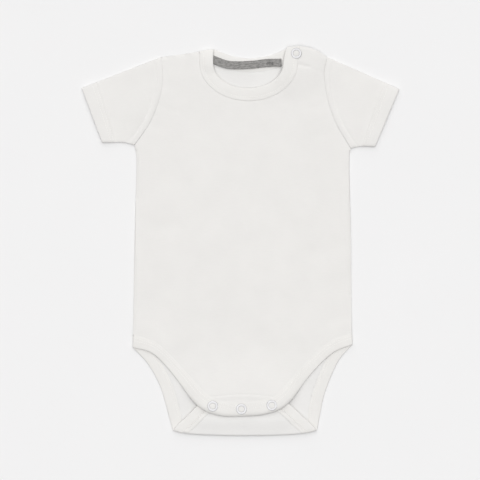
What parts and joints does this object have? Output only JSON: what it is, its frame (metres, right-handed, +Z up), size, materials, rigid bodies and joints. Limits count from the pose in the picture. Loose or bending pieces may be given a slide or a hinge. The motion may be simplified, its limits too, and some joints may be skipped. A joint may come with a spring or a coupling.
{
  "type": "baby onesie, short-sleeved snap-crotch bodysuit laid flat",
  "caption": "White short-sleeved baby bodysuit with rib bindings, a snapped shoulder and a snapped crotch, laid flat front up.",
  "frame": {"origin": "centre of the garment's outline, on the surface that it lies on", "axes": "+X to the viewer's right, which is the wearer's left, +Y to the neck, +Z up out of the front"},
  "size_m": [0.318, 0.39, 0.009],
  "materials": {
    "cotton_jersey": "matte knit",
    "cotton_rib": "matte knit",
    "neck_tape": "matte heathered",
    "snap_plastic": "gloss"
  },
  "bodies": {
    "root": {"back_body": "cotton_jersey", "front_body": "cotton_jersey", "sleeve_left": "cotton_jersey", "sleeve_right": "cotton_jersey", "neck_binding": "cotton_rib", "leg_binding_front": "cotton_rib", "leg_binding_back": "cotton_rib", "neck_tape": "neck_tape", "snap_crotch_left_ring": "snap_plastic", "snap_crotch_left_socket": "snap_plastic", "snap_crotch_left_stud": "snap_plastic", "snap_crotch_left_base": "snap_plastic", "snap_crotch_middle_ring": "snap_plastic", "snap_crotch_middle_socket": "snap_plastic", "snap_crotch_middle_stud": "snap_plastic", "snap_crotch_middle_base": "snap_plastic", "snap_crotch_right_ring": "snap_plastic", "snap_crotch_right_socket": "snap_plastic", "snap_crotch_right_stud": "snap_plastic", "snap_crotch_right_base": "snap_plastic", "snap_shoulder_ring": "snap_plastic", "snap_shoulder_socket": "snap_plastic", "snap_shoulder_stud": "snap_plastic", "snap_shoulder_base": "snap_plastic"}
  },
  "joints": []
}
